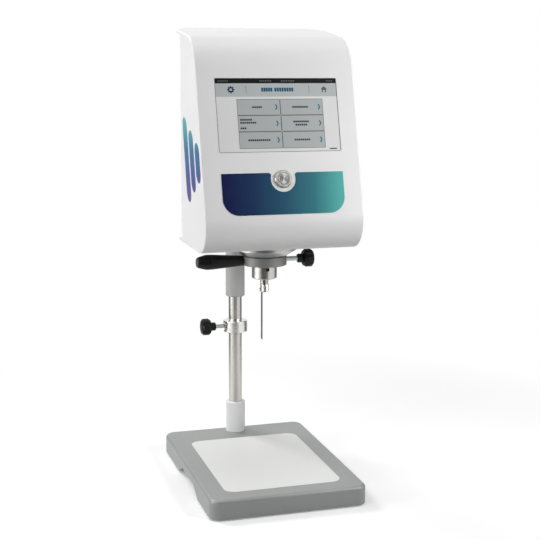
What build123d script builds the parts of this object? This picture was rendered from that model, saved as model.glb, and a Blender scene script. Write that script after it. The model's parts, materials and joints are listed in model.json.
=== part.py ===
from build123d import *
import math
import os

# Dynamic shear rheometer: a measuring head on a rod stand.
# The origin is the centre of the base on the bench. The front faces -Y and +Z is up.
# All sizes are in millimetres.

# Fits
seat = 0.02             # radial play of a round piece that is pressed or screwed in
running = 0.05          # radial play of a bearing surface
air = 0.3               # free space round a curved or loose neighbour
screw_tip_gap = 0.2     # a clamp screw's tip, turned back from what it presses

# Base
base_width = 200.0
base_depth = 279.0
base_height = 24.0
base_corner_radius = 14.0
base_edge_radius = 4.0
base_wall = 8.0
base_deck = 9.0
base_pad = 36.0
relief_roof = 12.0
relief_length = 62.0
relief_ramp = 24.0
relief_centre = -11.0
foot_radius = 11.0
foot_height = 2.0
foot_recess = 1.0
foot_inset = 18.0
label_width = 150.0
label_depth = 201.0
label_centre = -14.0
label_corner_radius = 14.0
label_thickness = 0.3

# Pole
pole_diameter = 18.5
pole_length = 508.0
pole_back = 124.2
pole_socket = 8.0
pole_boss_diameter = 44.0
sleeve_diameter = 27.0
sleeve_height = 43.0
pole_screw_diameter = 8.0
pole_screw_reach = 20.0
pole_screw_head_diameter = 13.0
pole_screw_head_height = 8.0
pole_web = 6.0
washer_diameter = 17.0
washer_thickness = 1.6

# Stop collar
collar_diameter = 34.0
collar_height = 16.0
collar_lift = 170.0
collar_spot_diameter = 13.0
collar_spot_depth = 1.2

# Star knobs
knob_head_diameter = 23.0
knob_head_length = 13.5
knob_hub_diameter = 11.6
knob_hub_length = 7.6
knob_screw_diameter = 6.0
knob_screw_bare = 11.5
knob_lobes = 6
arm_knob_head_diameter = 34.0
arm_knob_screw_diameter = 8.0

# Guide sleeve and arm
guide_diameter = 26.5
guide_wall = 1.75
guide_length = 206.0
guide_drop = 95.5
guide_lip = 1.5
bush_length = 24.0
arm_hub_wall = 8.0
arm_hub_length = 92.0
arm_hub_up = 18.0
arm_knob_up = 50.0
arm_plate_width = 72.0
arm_plate_height = 112.0
arm_plate_thickness = 9.0
arm_neck_width = 34.0
arm_screw_diameter = 6.0
arm_screw_spacing_x = 52.0
arm_screw_spacing_z = 92.0

# Head
head_side_margin = 22.0
head_height = 268.0
head_depth = 180.0
head_lift = 316.0
face_line_up = 134.0
head_behind_gap = 67.2
face_tilt = 15.08
top_slope = 8.3
brow_radius = 50.0
chin_radius = 35.0
back_corner_radius = 26.0
cover_edge_radius = 1.2
cover_wall = 3.0
lip_thickness = 5.0
lip_overhang = 3.3
side_wall_end = 16.0
cover_overlap = 14.0
rear_wall = 2.5
cover_boss_diameter = 9.0
cover_boss_length = 26.0
cover_screw_diameter = 3.0
vent_slot_length = 26.0
vent_slot_height = 3.0
vent_pitch = 7.0
vent_rows = 7
vent_columns = 3
vent_centre_up = 199.0

# Display
screen_width = 152.0
screen_height = 89.5
screen_middle = 30.0
screen_corner_radius = 1.5
glass_recess = 0.6
glass_gap = 0.25
module_border = 6.0
module_height = 100.0
module_thickness = 7.0
frame_thickness = 2.0
frame_side_gap = 5.0
frame_height = 104.0
frame_boss_diameter = 7.0
frame_boss_inset = 4.0
frame_boss_spacing_y = 88.0
board_side_gap = 12.0
board_height = 78.0
board_thickness = 1.6
standoff_diameter = 6.0
standoff_length = 10.0

# Front plate and push button
plate_side_inset = 0.5
plate_height = 50.0
plate_middle = -64.7
plate_corner_radius = 20.0
plate_thickness = 0.5
button_up = -47.3
notch_diameter = 31.0
notch_lip_radius = 3.0
bezel_diameter = 22.0
bezel_height = 3.6
button_barrel_diameter = 18.8
button_barrel_length = 17.0
button_cap_diameter = 14.6
button_cap_height = 4.8
button_cap_length = 9.0
button_travel = 2.0
button_nut_size = 24.0
button_nut_height = 4.0

# Measuring drive
throat = 144.4
chassis_side_gap = 10.0
chassis_thickness = 4.0
chassis_front = 44.0
upright_height = 122.0
upright_side_gap = 4.0
housing_diameter = 46.0
housing_height = 50.0
housing_flange_diameter = 66.0
housing_flange_thickness = 5.0
bearing_outer_diameter = 22.0
bearing_width = 7.0
shaft_diameter = 8.0
shaft_end_up = 25.0
motor_diameter = 42.0
motor_length = 58.0
encoder_diameter = 40.0
encoder_thickness = 1.2
encoder_hub_diameter = 16.0
encoder_hub_height = 6.0
encoder_lift = 8.0

# Below the head
flange_diameter = 82.0
flange_lower_diameter = 57.4
flange_height = 14.8
flange_rim = 7.0
flange_spigot_diameter = 58.0
flange_screw_diameter = 5.0
flange_screw_circle = 44.0
ring_diameter = 56.6
ring_height = 11.6
ring_gap = 1.0
boss_diameter = 32.0
boss_drop = 45.0
boss_neck_diameter = 26.0
boss_hole_diameter = 4.5
boss_hole_drop = 32.0
boss_bore_diameter = 13.0
coupling_diameter = 10.6
coupling_drop = 62.7
coupling_length = 24.0
coupling_waist_up = 10.8
coupling_screw_diameter = 2.5
measuring_rod_diameter = 2.2
measuring_rod_offset = 3.3
measuring_rod_length = 70.0
measuring_rod_seat = 7.0
handle_length = 61.7
handle_root_diameter = 12.6
handle_belly_diameter = 19.0
handle_end_diameter = 12.6
handle_belly_at = 43.8
handle_shoulder_at = 50.0
handle_core_diameter = 6.0
handle_cap_thickness = 1.2

# Electronics and rear panel
supply_width = 34.0
supply_depth = 78.0
supply_height = 36.0
supply_edge_gap = 6.0
drive_board_width = 36.0
inlet_width = 31.0
inlet_height = 27.0
inlet_body_width = 27.0
inlet_body_height = 20.0
inlet_depth = 19.0
inlet_pin_depth = 5.0
inlet_inset = 34.0
inlet_up = 44.0
switch_up = 71.0
switch_width = 23.0
switch_height = 27.0
switch_body_width = 19.0
switch_body_height = 24.0
switch_depth = 14.0
inlet_flange = 2.0
rocker_width = 13.0
rocker_height = 19.0
rocker_pin_diameter = 2.4
rocker_tilt = 8.0
port_inset = 36.0
usb_up = 76.0
usb_spacing = 14.0
serial_up = 48.0
probe_up = 24.0
probe_diameter = 15.0

# Places that follow from the sizes above
head_width = screen_width + 2 * head_side_margin
half_head = head_width / 2
guide_lift = head_lift - guide_drop
arm_hub_lift = head_lift + arm_hub_up
arm_knob_lift = arm_hub_lift + arm_knob_up
module_width = screen_width + 2 * module_border
frame_width = head_width - 2 * frame_side_gap
board_width = module_width - 2 * board_side_gap
plate_width = screen_width - 2 * plate_side_inset
chassis_width = head_width - 2 * chassis_side_gap
supply_side = chassis_width / 2 - supply_edge_gap - supply_width / 2
upright_width = 2 * (supply_side - supply_width / 2 - upright_side_gap)
inlet_side = half_head - inlet_inset
inlet_lift = head_lift + inlet_up
port_side = port_inset - half_head
usb_lift = head_lift + usb_up
serial_lift = head_lift + serial_up
probe_lift = head_lift + probe_up
base_top = foot_height + base_height
pole_radius = pole_diameter / 2
pole_foot = base_top - pole_socket
pole_top = pole_foot + pole_length
guide_bore_radius = guide_diameter / 2 - guide_wall
axis_y = pole_back - throat
head_back = pole_back - head_behind_gap
face_angle = math.radians(face_tilt)
chin_y = head_back - head_depth
FACE = Plane(
    origin=(0, chin_y + face_line_up * math.tan(face_angle), head_lift + face_line_up),
    x_dir=(1, 0, 0),
    z_dir=(0, -math.cos(face_angle), math.sin(face_angle)),
)
AXIS = Pos(0, axis_y, 0)
POLE = Pos(0, pole_back, 0)
lip_top = head_lift + lip_thickness
module_back = -cover_wall - module_thickness
frame_back = module_back - frame_thickness
board_front = frame_back - standoff_length
chassis_top = lip_top + chassis_thickness
rear_panel_y = head_back - lip_overhang
panel_inside = rear_panel_y - rear_wall
housing_top = chassis_top + housing_height
motor_top = housing_top + motor_length
shaft_top = motor_top + shaft_end_up
flange_bottom = head_lift - flange_height
ring_top = flange_bottom - ring_gap
ring_bottom = ring_top - ring_height
ring_middle = (ring_top + ring_bottom) / 2
boss_bottom = head_lift - boss_drop
coupling_bottom = head_lift - coupling_drop


def upright(radius, low, high):
    """A round bar along Z, from one height to another."""
    return Pos(0, 0, low) * Cylinder(radius, high - low, align=(Align.CENTER, Align.CENTER, Align.MIN))


def tube(outer, inner, low, high):
    return upright(outer, low, high) - upright(inner, low - 1, high + 1)


def block(x0, x1, y0, y1, z0, z1):
    """A box given by its limits."""
    return Pos((x0 + x1) / 2, (y0 + y1) / 2, (z0 + z1) / 2) * Box(x1 - x0, y1 - y0, z1 - z0)


def turned(*points):
    """A solid of revolution about Z, from (radius, height) points."""
    return revolve(Plane.XZ * make_face(Polyline(*points, close=True)), Axis.Z)


def slab(sketch, low, high):
    """A flat sketch drawn out between two heights."""
    return extrude(Pos(0, 0, low) * sketch, amount=high - low)


def on_face(sketch, low, high):
    """A sketch on the slanted face, drawn out between two depths. Outside is positive."""
    return extrude(FACE * Pos(0, 0, low) * sketch, amount=high - low)


def socket_screw(diameter, length):
    """A cap screw along Z whose head's underside is at the origin and whose shank points down."""
    head = upright(diameter * 0.75, 0, diameter)
    hexagon = slab(RegularPolygon(diameter * 0.48, 6), diameter * 0.5, diameter * 1.1)
    head = chamfer(head.edges().sort_by(Axis.Z)[-1], diameter * 0.1)
    return head - hexagon + upright(diameter / 2, -length, 0)


# Base

def base_outline(inset):
    radius = base_corner_radius - min(inset, 10)
    return RectangleRounded(base_width - 2 * inset, base_depth - 2 * inset, radius)


def base_casting():
    body = slab(base_outline(0), foot_height, base_top)
    body = fillet(body.faces().sort_by(Axis.Z)[-1].edges(), base_edge_radius)
    pocket_top = base_top - base_deck
    body -= slab(base_outline(base_wall), 0, pocket_top)
    inner = slab(base_outline(base_edge_radius), foot_height, pocket_top)
    extras = [POLE * upright(pole_boss_diameter / 2, foot_height, pocket_top)]
    for sx in (-1, 1):
        for sy in (-1, 1):
            corner = Pos(sx * (base_width - base_pad) / 2, sy * (base_depth - base_pad) / 2, 0)
            extras.append(corner * slab(Rectangle(base_pad, base_pad), foot_height, pocket_top))
    for extra in extras:
        body += extra & inner
    half = relief_length / 2
    relief = Polyline(
        (relief_centre - half - relief_ramp, foot_height - 0.01),
        (relief_centre - half, foot_height + relief_roof),
        (relief_centre + half, foot_height + relief_roof),
        (relief_centre + half + relief_ramp, foot_height - 0.01),
        close=True,
    )
    body -= extrude(Plane.YZ * make_face(relief), amount=base_width, both=True)
    for place in foot_places():
        body -= place * upright(foot_radius + seat, 0, foot_height + foot_recess)
    body -= POLE * upright(pole_radius + seat, pole_foot, base_top + 1)
    body -= POLE * upright(pole_screw_diameter / 2 + air, foot_height, pole_foot + 1)
    body -= POLE * upright(washer_diameter / 2 + air, foot_height - 1, pole_foot - pole_web)
    return body


def foot_places():
    x = base_width / 2 - foot_inset
    y = base_depth / 2 - foot_inset
    return [Pos(sx * x, sy * y, 0) for sx in (-1, 1) for sy in (-1, 1)]


def base_feet():
    top = foot_height + foot_recess
    foot = turned((0, 0), (foot_radius - 0.8, 0), (foot_radius, 0.8), (foot_radius, top), (0, top))
    return [place * foot for place in foot_places()]


def base_label():
    outline = RectangleRounded(label_width, label_depth, label_corner_radius)
    return Pos(0, label_centre, 0) * slab(outline, base_top, base_top + label_thickness)


# Pole and what holds it

def pole():
    body = upright(pole_radius, pole_foot, pole_top)
    body = chamfer(body.edges().filter_by(GeomType.CIRCLE), 1.0)
    screw_hole = upright(pole_screw_diameter / 2 + seat, pole_foot - 1, pole_foot + pole_screw_reach + 2)
    return POLE * (body - screw_hole)


def pole_screw():
    under_head = pole_foot - pole_web - washer_thickness
    length = pole_foot + pole_screw_reach - under_head
    low = under_head - pole_screw_head_height
    head = upright(pole_screw_head_diameter / 2, low, under_head)
    hexagon = slab(RegularPolygon(pole_screw_diameter * 0.43, 6), low - 1, low + pole_screw_diameter / 2)
    shank = upright(pole_screw_diameter / 2, under_head, under_head + length)
    return POLE * (head - hexagon + shank)


def pole_washer():
    top = pole_foot - pole_web
    return POLE * tube(washer_diameter / 2, pole_screw_diameter / 2 + air, top - washer_thickness, top)


def foot_sleeve():
    body = upright(sleeve_diameter / 2, base_top, base_top + sleeve_height)
    body = fillet(body.edges().filter_by(GeomType.CIRCLE).sort_by(Axis.Z)[-1], 1.2)
    return POLE * (body - upright(pole_radius + seat, base_top - 1, base_top + sleeve_height + 1))


# Star knobs, drawn with the clamp screw's tip at the origin and the knob up the Z axis

def knob_grip(head_diameter, reach, size):
    """The moulded grip: a hub, a shoulder and a head with hollows between its lobes."""
    hub = knob_hub_diameter * size / 2
    head = head_diameter / 2
    low = reach + knob_hub_length * size
    high = low + knob_head_length * size
    body = turned((0, reach), (hub - 1, reach), (hub, reach + 1), (hub, low), (head - 2.2 * size, low),
                  (head, low + 2.6 * size), (head, high - 3 * size), (head - 2.4 * size, high - 0.9 * size),
                  (head * 0.45, high), (0, high))
    hollow_radius = head * 0.42
    for n in range(knob_lobes):
        angle = 360 / knob_lobes * n
        body -= Rot(0, 0, angle) * Pos(head * 1.24, 0, 0) * upright(hollow_radius, low + 0.6, high + 1)
    return body


def knob_screw(diameter, reach, depth):
    """The zinc screw: a chamfered tip, the shank, and a tail inside the grip."""
    radius = diameter / 2
    return turned((0, 0), (radius - 0.8, 0), (radius, 0.8), (radius, reach + depth), (0, reach + depth))


def screw_socket(diameter, reach, depth):
    return upright(diameter / 2 + seat, reach - 1, reach + depth + 0.5)


def collar_knob_place():
    return POLE * Pos(0, 0, collar_middle) * Rot(0, -90, 0) * Pos(0, 0, pole_radius + screw_tip_gap)


def ring_knob_place():
    return AXIS * Pos(0, 0, ring_middle) * Rot(0, 90, 0) * Pos(0, 0, boss_diameter / 2 + screw_tip_gap)


def arm_knob_place():
    return POLE * Pos(0, 0, arm_knob_lift) * Rot(-90, 0, 0) * Pos(0, 0, pole_radius + screw_tip_gap)


collar_middle = collar_lift + collar_height / 2
collar_knob_reach = collar_diameter / 2 + knob_screw_bare - pole_radius - screw_tip_gap
ring_knob_reach = ring_diameter / 2 + knob_screw_bare + 4 - boss_diameter / 2 - screw_tip_gap
arm_hub_radius = guide_diameter / 2 + arm_hub_wall
arm_knob_reach = arm_hub_radius + knob_screw_bare - pole_radius - screw_tip_gap
arm_knob_size = arm_knob_head_diameter / knob_head_diameter


def collar_knob():
    grip = knob_grip(knob_head_diameter, collar_knob_reach, 1)
    socket = screw_socket(knob_screw_diameter, collar_knob_reach, knob_head_length)
    return collar_knob_place() * (grip - socket)


def collar_knob_screw():
    return collar_knob_place() * knob_screw(knob_screw_diameter, collar_knob_reach, knob_head_length)


def ring_knob():
    grip = knob_grip(knob_head_diameter, ring_knob_reach, 1)
    socket = screw_socket(knob_screw_diameter, ring_knob_reach, knob_head_length)
    return ring_knob_place() * (grip - socket)


def ring_knob_screw():
    return ring_knob_place() * knob_screw(knob_screw_diameter, ring_knob_reach, knob_head_length)


def arm_knob():
    grip = knob_grip(arm_knob_head_diameter, arm_knob_reach, arm_knob_size)
    socket = screw_socket(arm_knob_screw_diameter, arm_knob_reach, knob_head_length)
    return arm_knob_place() * (grip - socket)


def arm_knob_screw():
    return arm_knob_place() * knob_screw(arm_knob_screw_diameter, arm_knob_reach, knob_head_length)


# Stop collar

def stop_collar():
    radius = collar_diameter / 2
    body = upright(radius, collar_lift, collar_lift + collar_height)
    body = chamfer(body.edges().filter_by(GeomType.CIRCLE), 0.8)
    body -= upright(pole_radius + running, collar_lift - 1, collar_lift + collar_height + 1)
    side = Pos(0, 0, collar_middle) * Rot(0, -90, 0)
    body -= side * upright(knob_screw_diameter / 2 + running, 0, radius + 1)
    body -= side * upright(collar_spot_diameter / 2, radius - collar_spot_depth, radius + 1)
    return POLE * body


# Guide sleeve, its bushes and the arm

guide_top = guide_lift + guide_length


def guide_sleeve():
    body = upright(guide_diameter / 2, guide_lift, guide_top)
    body = chamfer(body.edges().filter_by(GeomType.CIRCLE), 1.0)
    body -= upright(guide_bore_radius, guide_lift + guide_lip, guide_top + 1)
    body -= upright(pole_radius + air, guide_lift - 1, guide_top)
    side = Pos(0, 0, arm_knob_lift) * Rot(-90, 0, 0)
    body -= side * upright(arm_knob_screw_diameter / 2 + air, 0, guide_diameter)
    return POLE * body


def guide_bushes():
    low = guide_lift + guide_lip
    bush = tube(guide_bore_radius - running, pole_radius + running, 0, bush_length)
    return [POLE * Pos(0, 0, low) * bush, POLE * Pos(0, 0, guide_top - bush_length) * bush]


arm_screw_seat = arm_plate_thickness - 4
arm_plate_middle = arm_hub_lift + arm_hub_length / 2
ARM_PLATE = Plane(origin=(0, rear_panel_y, arm_plate_middle), x_dir=(-1, 0, 0), z_dir=(0, 1, 0))


def arm_screw_places():
    return [ARM_PLATE * Pos(sx * arm_screw_spacing_x / 2, sy * arm_screw_spacing_z / 2, 0)
            for sx in (-1, 1) for sy in (-1, 1)]


def support_arm():
    """The cast arm: a plate against the head's back, a ribbed neck and the clamp hub."""
    hub = upright(arm_hub_radius, arm_hub_lift, arm_hub_lift + arm_hub_length)
    hub = POLE * fillet(hub.edges().filter_by(GeomType.CIRCLE), 1.5)
    outline = RectangleRounded(arm_plate_width, arm_plate_height, 8)
    plate = extrude(ARM_PLATE * outline, amount=arm_plate_thickness)
    plate_front = rear_panel_y + arm_plate_thickness
    low = arm_hub_lift + 6
    high = arm_hub_lift + arm_hub_length - 6
    web = block(-arm_neck_width / 2, arm_neck_width / 2, plate_front - 1, pole_back, low, high)
    body = plate + web + hub
    body -= POLE * upright(guide_diameter / 2 + seat, arm_hub_lift - 1, arm_hub_lift + arm_hub_length + 1)
    body -= POLE * Pos(0, 0, arm_knob_lift) * Rot(-90, 0, 0) * upright(
        arm_knob_screw_diameter / 2 + running, 0, arm_hub_radius + 1)
    for place in arm_screw_places():
        body -= place * upright(arm_screw_diameter / 2 + air, -1, arm_plate_thickness + 1)
        body -= place * upright(arm_screw_diameter * 0.75 + air, arm_screw_seat, arm_plate_thickness + 1)
    return body


def arm_screws():
    screw = socket_screw(arm_screw_diameter, arm_screw_seat + rear_wall + chassis_thickness)
    return [place * Pos(0, 0, arm_screw_seat) * screw for place in arm_screw_places()]


# Head covers

def head_profile(rear, inset):
    """The head's side outline between its sharp bottom and the rounded brow and chin."""
    top_back = head_lift + head_height
    slope = math.tan(math.radians(top_slope))
    lean = math.tan(face_angle)
    brow_z = (top_back - (head_back - chin_y + lean * head_lift) * slope) / (1 - lean * slope)
    brow_y = chin_y + (brow_z - head_lift) * lean
    rear_top = top_back + (rear - head_back) * slope
    outline = FilletPolyline(
        (rear, head_lift), (chin_y, head_lift), (brow_y, brow_z), (rear, rear_top),
        radius=[0, chin_radius, brow_radius, 0], close=True,
    )
    face = Plane.YZ * make_face(outline)
    return offset(face, amount=-inset, kind=Kind.INTERSECTION) if inset else face


def plan_outline(half_width, back, radius):
    """Seen from above: square at the front, rounded at the back."""
    front = chin_y - 20
    outline = FilletPolyline(
        (-half_width, front), (half_width, front), (half_width, back), (-half_width, back),
        radius=[0, 0, radius, radius], close=True,
    )
    return slab(make_face(outline), head_lift - 20, head_lift + head_height + 40)


def behind(y):
    return block(-head_width, head_width, y, head_back + 80, head_lift - 20, head_lift + head_height + 40)


far_back = head_back + 40


def cover_boss_places():
    """Screw bosses along the top and bottom lips, seen along Y: (x, z)."""
    x = half_head - back_corner_radius - 5
    low = lip_top + cover_boss_diameter / 2
    slope = math.tan(math.radians(top_slope))
    back_drop = (head_back - (rear_panel_y - cover_boss_length)) * slope
    high = head_lift + head_height - lip_thickness - back_drop - cover_boss_diameter / 2 - 1
    return [(sx * x, z) for sx in (-1, 1) for z in (low, high)]


def along_y(x, z, radius, y0, y1):
    return Pos(x, y0, z) * Rot(-90, 0, 0) * upright(radius, 0, y1 - y0)


def front_cover():
    body = extrude(head_profile(head_back, 0), amount=half_head, both=True)
    body &= plan_outline(half_head, head_back, back_corner_radius)
    sides = body.faces().filter_by(Axis.X)
    body = fillet([e for f in sides for e in f.edges()], cover_edge_radius)
    thin = extrude(head_profile(far_back, cover_wall), amount=half_head - cover_wall, both=True)
    thick = extrude(head_profile(far_back, lip_thickness), amount=half_head - cover_wall, both=True)
    open_sides = extrude(head_profile(far_back, lip_thickness), amount=half_head + 2, both=True)
    lip_start = side_wall_end - 4
    body -= thin - behind(lip_start)
    body -= thick & behind(lip_start - 1)
    body -= open_sides & behind(side_wall_end)
    boss_back = panel_inside - air
    boss_front = boss_back - cover_boss_length
    half_boss = cover_boss_diameter / 2
    for x, z in cover_boss_places():
        toward = -12 if z < head_lift + head_height / 2 else 12
        boss = along_y(x, z, half_boss, boss_front, boss_back)
        web = block(x - half_boss, x + half_boss, boss_front, boss_back, *sorted((z, z + toward)))
        keep = extrude(head_profile(head_back, cover_wall / 2), amount=half_head, both=True)
        body += (boss + web) & keep
        body -= along_y(x, z, cover_screw_diameter / 2 + seat, boss_back - 14, boss_back + 1)
    for x, y in frame_boss_places():
        body += on_face(Pos(x, y) * Circle(frame_boss_diameter / 2), module_back, -cover_wall / 2)
        hole = Pos(x, y) * Circle(cover_screw_diameter / 2 + seat)
        body -= on_face(hole, module_back - 1, -cover_wall - 1)
    opening = Pos(0, screen_middle) * RectangleRounded(screen_width, screen_height, screen_corner_radius)
    body -= on_face(opening, -cover_wall - 1, 2)
    body -= on_face(Pos(0, button_up) * Circle(button_barrel_diameter / 2 + seat), -cover_wall - 1, 2)
    body -= AXIS * upright(flange_spigot_diameter / 2 + seat, head_lift - 1, lip_top + 1)
    return body


def rear_profile(inset):
    return head_profile(far_back, lip_thickness + air + inset)


def rear_cover():
    """The tray that closes the head's back, set in between the lips."""
    half = half_head - cover_wall - air
    radius = back_corner_radius - lip_overhang
    front = side_wall_end - cover_overlap
    body = extrude(rear_profile(0), amount=half, both=True)
    body &= plan_outline(half, rear_panel_y, radius) & behind(front)
    hollow = extrude(rear_profile(rear_wall), amount=half - rear_wall, both=True)
    hollow &= plan_outline(half - rear_wall, panel_inside, radius - rear_wall)
    body -= hollow
    doorway = chassis_width / 2 + air
    body -= block(-doorway, doorway, front - 1, panel_inside, head_lift, chassis_top + air)
    reach = rear_panel_y + 1
    skin = extrude(rear_profile(-2), amount=half_head, both=True)
    skin -= extrude(rear_profile(rear_wall + 0.01), amount=half_head + 1, both=True)
    for x, z in cover_boss_places():
        clear = cover_boss_diameter / 2 + air
        slot = block(x - clear, x + clear, front - 1, panel_inside, z - clear - 8, z + clear + 8)
        body -= slot & skin
        body -= along_y(x, z, cover_screw_diameter / 2 + air, panel_inside - 1, reach)
    for place in arm_screw_places():
        body -= place * upright(arm_screw_diameter / 2 + air, -rear_wall - 1, 1)
    for column in range(vent_columns):
        x = (column - (vent_columns - 1) / 2) * (vent_slot_length + 8)
        for row in range(vent_rows):
            z = head_lift + vent_centre_up + (row - (vent_rows - 1) / 2) * vent_pitch
            slot = SlotOverall(vent_slot_length, vent_slot_height)
            body -= extrude(Plane(origin=(x, reach, z), x_dir=(1, 0, 0), z_dir=(0, -1, 0)) * slot,
                            amount=rear_wall + 2)
    for width, height, z in ((inlet_body_width, inlet_body_height, inlet_lift),
                             (switch_body_width, switch_body_height, rocker_lift)):
        half_w = width / 2 + air
        half_h = height / 2 + air
        opening = block(-half_w, half_w, panel_inside - 1, reach, -half_h, half_h)
        body -= Pos(inlet_side, 0, z) * opening
    for z in (usb_lift - usb_spacing / 2, usb_lift + usb_spacing / 2):
        body -= block(port_side - 7.2, port_side + 7.2, panel_inside - 1, reach, z - 3.6, z + 3.6)
    low = serial_lift - 5.5
    body -= block(port_side - 10, port_side + 10, panel_inside - 1, reach, low, low + 11)
    body -= along_y(port_side, probe_lift, probe_diameter / 2 - 2, panel_inside - 1, reach)
    return body


def cover_screws():
    out = []
    for x, z in cover_boss_places():
        screw = socket_screw(cover_screw_diameter, rear_wall + air + 10)
        out.append(Pos(x, rear_panel_y, z) * Rot(-90, 0, 0) * screw)
    return out


# Display, boards and front plate

def frame_boss_places():
    return [(sx * (frame_width / 2 - frame_boss_inset), screen_middle + sy * frame_boss_spacing_y / 2)
            for sx in (-1, 1) for sy in (-1, 1)]


def touch_glass():
    width = screen_width - 2 * glass_gap
    height = screen_height - 2 * glass_gap
    outline = Pos(0, screen_middle) * RectangleRounded(width, height, screen_corner_radius)
    return on_face(outline, -cover_wall, -glass_recess)


def display_module():
    outline = Pos(0, screen_middle) * Rectangle(module_width, module_height)
    return on_face(outline, module_back, -cover_wall)


def display_frame():
    outline = Pos(0, screen_middle) * RectangleRounded(frame_width, frame_height, 4)
    window = Pos(0, screen_middle) * RectangleRounded(frame_width * 0.3, frame_height * 0.5, 4)
    body = on_face(outline, frame_back, module_back)
    body -= on_face(window, frame_back - 1, module_back + 1)
    for x, y in frame_boss_places():
        body -= on_face(Pos(x, y) * Circle(cover_screw_diameter / 2 + air), frame_back - 1, module_back + 1)
    return body


def frame_screws():
    screw = Rot(180, 0, 0) * socket_screw(cover_screw_diameter, frame_thickness + module_thickness - 1)
    return [FACE * Pos(x, y, frame_back) * screw for x, y in frame_boss_places()]


def standoff_places():
    return [(sx * (board_width / 2 - 5), screen_middle + sy * (board_height / 2 - 5))
            for sx in (-1, 1) for sy in (-1, 1)]


def board_standoffs():
    hexagon = RegularPolygon(standoff_diameter / 2, 6)
    return [on_face(Pos(x, y) * hexagon, board_front, frame_back) for x, y in standoff_places()]


def mainboard():
    back = board_front - board_thickness
    body = on_face(Pos(0, screen_middle) * RectangleRounded(board_width, board_height, 3), back, board_front)
    body += on_face(Pos(-20, screen_middle + 8) * Rectangle(26, 26), back - 3, back)
    body += on_face(Pos(25, screen_middle - 12) * Rectangle(18, 14), back - 2, back)
    body += on_face(Pos(50, screen_middle + 15) * Rectangle(12, 30), back - 9, back)
    body += on_face(Pos(-52, screen_middle - 15) * Rectangle(8, 32), back - 8, back)
    return body


def front_plate():
    top = plate_height / 2
    notch = Pos(0, button_up - plate_middle) * Circle(notch_diameter / 2)
    outline = Rectangle(plate_width, plate_height) - notch
    low = outline.vertices().filter_by(lambda v: v.Y < -top + 0.1)
    outline = fillet(low, plate_corner_radius)
    lips = outline.vertices().filter_by(lambda v: v.Y > top - 0.1 and abs(v.X) < notch_diameter)
    outline = fillet(lips, notch_lip_radius)
    return on_face(Pos(0, plate_middle) * outline, 0, plate_thickness)


BUTTON = FACE * Pos(0, button_up, 0)
button_bore_radius = button_cap_diameter / 2 + running
button_cap_foot = button_cap_height - button_cap_length
button_bore_floor = button_cap_foot - button_travel - air


def button_bezel():
    """The fixed ring and barrel of the push button."""
    rim = bezel_diameter / 2
    barrel = button_barrel_diameter / 2
    body = turned((0, -button_barrel_length), (barrel, -button_barrel_length), (barrel, 0), (rim, 0),
                  (rim, 1.2), (rim - 1.4, bezel_height), (0, bezel_height))
    return BUTTON * (body - upright(button_bore_radius, button_bore_floor, bezel_height + 1))


def button_nut():
    hexagon = RegularPolygon(button_nut_size / 2, 6)
    body = slab(hexagon, -cover_wall - button_nut_height, -cover_wall)
    return BUTTON * (body - upright(button_barrel_diameter / 2 + seat, -20, 0))


def button_cap():
    guide = button_cap_diameter / 2
    radius = guide - 0.4
    top = button_cap_height
    return BUTTON * turned((0, button_cap_foot), (guide, button_cap_foot), (guide, 1), (radius, 1.6),
                           (radius, top - 0.8), (radius - 0.8, top), (radius * 0.55, top),
                           (radius * 0.5, top - 0.4), (0, top - 0.4))


# Chassis and measuring drive

def flange_screw_places():
    return [AXIS * Rot(0, 0, 45 + 90 * n) * Pos(flange_screw_circle / 2, 0, 0) for n in range(4)]


def chassis_frame():
    """The folded plate that carries the drive and bolts to the arm."""
    front = axis_y - chassis_front
    back = panel_inside
    half = chassis_width / 2
    body = block(-half, half, front, back, lip_top, chassis_top)
    top = arm_plate_middle + upright_height / 2
    body += block(-upright_width / 2, upright_width / 2, back - chassis_thickness, back, lip_top, top)
    for side in (-1, 1):
        x = side * (upright_width - chassis_thickness) / 2
        gusset = Polyline((back - chassis_thickness, chassis_top), (back - 40, chassis_top),
                          (back - chassis_thickness, chassis_top + 70), close=True)
        body += Pos(x, 0, 0) * extrude(Plane.YZ * make_face(gusset), amount=chassis_thickness / 2, both=True)
    body -= AXIS * upright(boss_neck_diameter / 2 + seat, lip_top - 1, chassis_top + 1)
    for place in flange_screw_places():
        body -= place * upright(flange_screw_diameter / 2 + seat, lip_top - 1, chassis_top + 1)
    for place in arm_screw_places():
        body -= place * upright(arm_screw_diameter / 2 + seat, -rear_wall - chassis_thickness - 1, 1)
    for x, z in cover_boss_places():
        clear = cover_boss_diameter / 2 + 1
        notch_front = panel_inside - cover_boss_length - 2
        body -= block(x - clear, x + clear, notch_front, panel_inside + 1, z - clear, z + clear)
    return body


def bearing_housing():
    flange = upright(housing_flange_diameter / 2, chassis_top, chassis_top + housing_flange_thickness)
    body = flange + upright(housing_diameter / 2, chassis_top, housing_top)
    body -= upright(shaft_diameter / 2 + 2, chassis_top - 1, housing_top + 1)
    seat_radius = bearing_outer_diameter / 2 + seat
    body -= upright(seat_radius, chassis_top - 1, chassis_top + bearing_width)
    body -= upright(seat_radius, housing_top - bearing_width, housing_top + 1)
    body = AXIS * body
    for place in flange_screw_places():
        body -= place * upright(flange_screw_diameter / 2 + seat, chassis_top - 1, chassis_top + 14)
    return body


def shaft_bearings():
    ring = tube(bearing_outer_diameter / 2, shaft_diameter / 2 + running, 0, bearing_width)
    return [AXIS * Pos(0, 0, chassis_top) * ring, AXIS * Pos(0, 0, housing_top - bearing_width) * ring]


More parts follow.
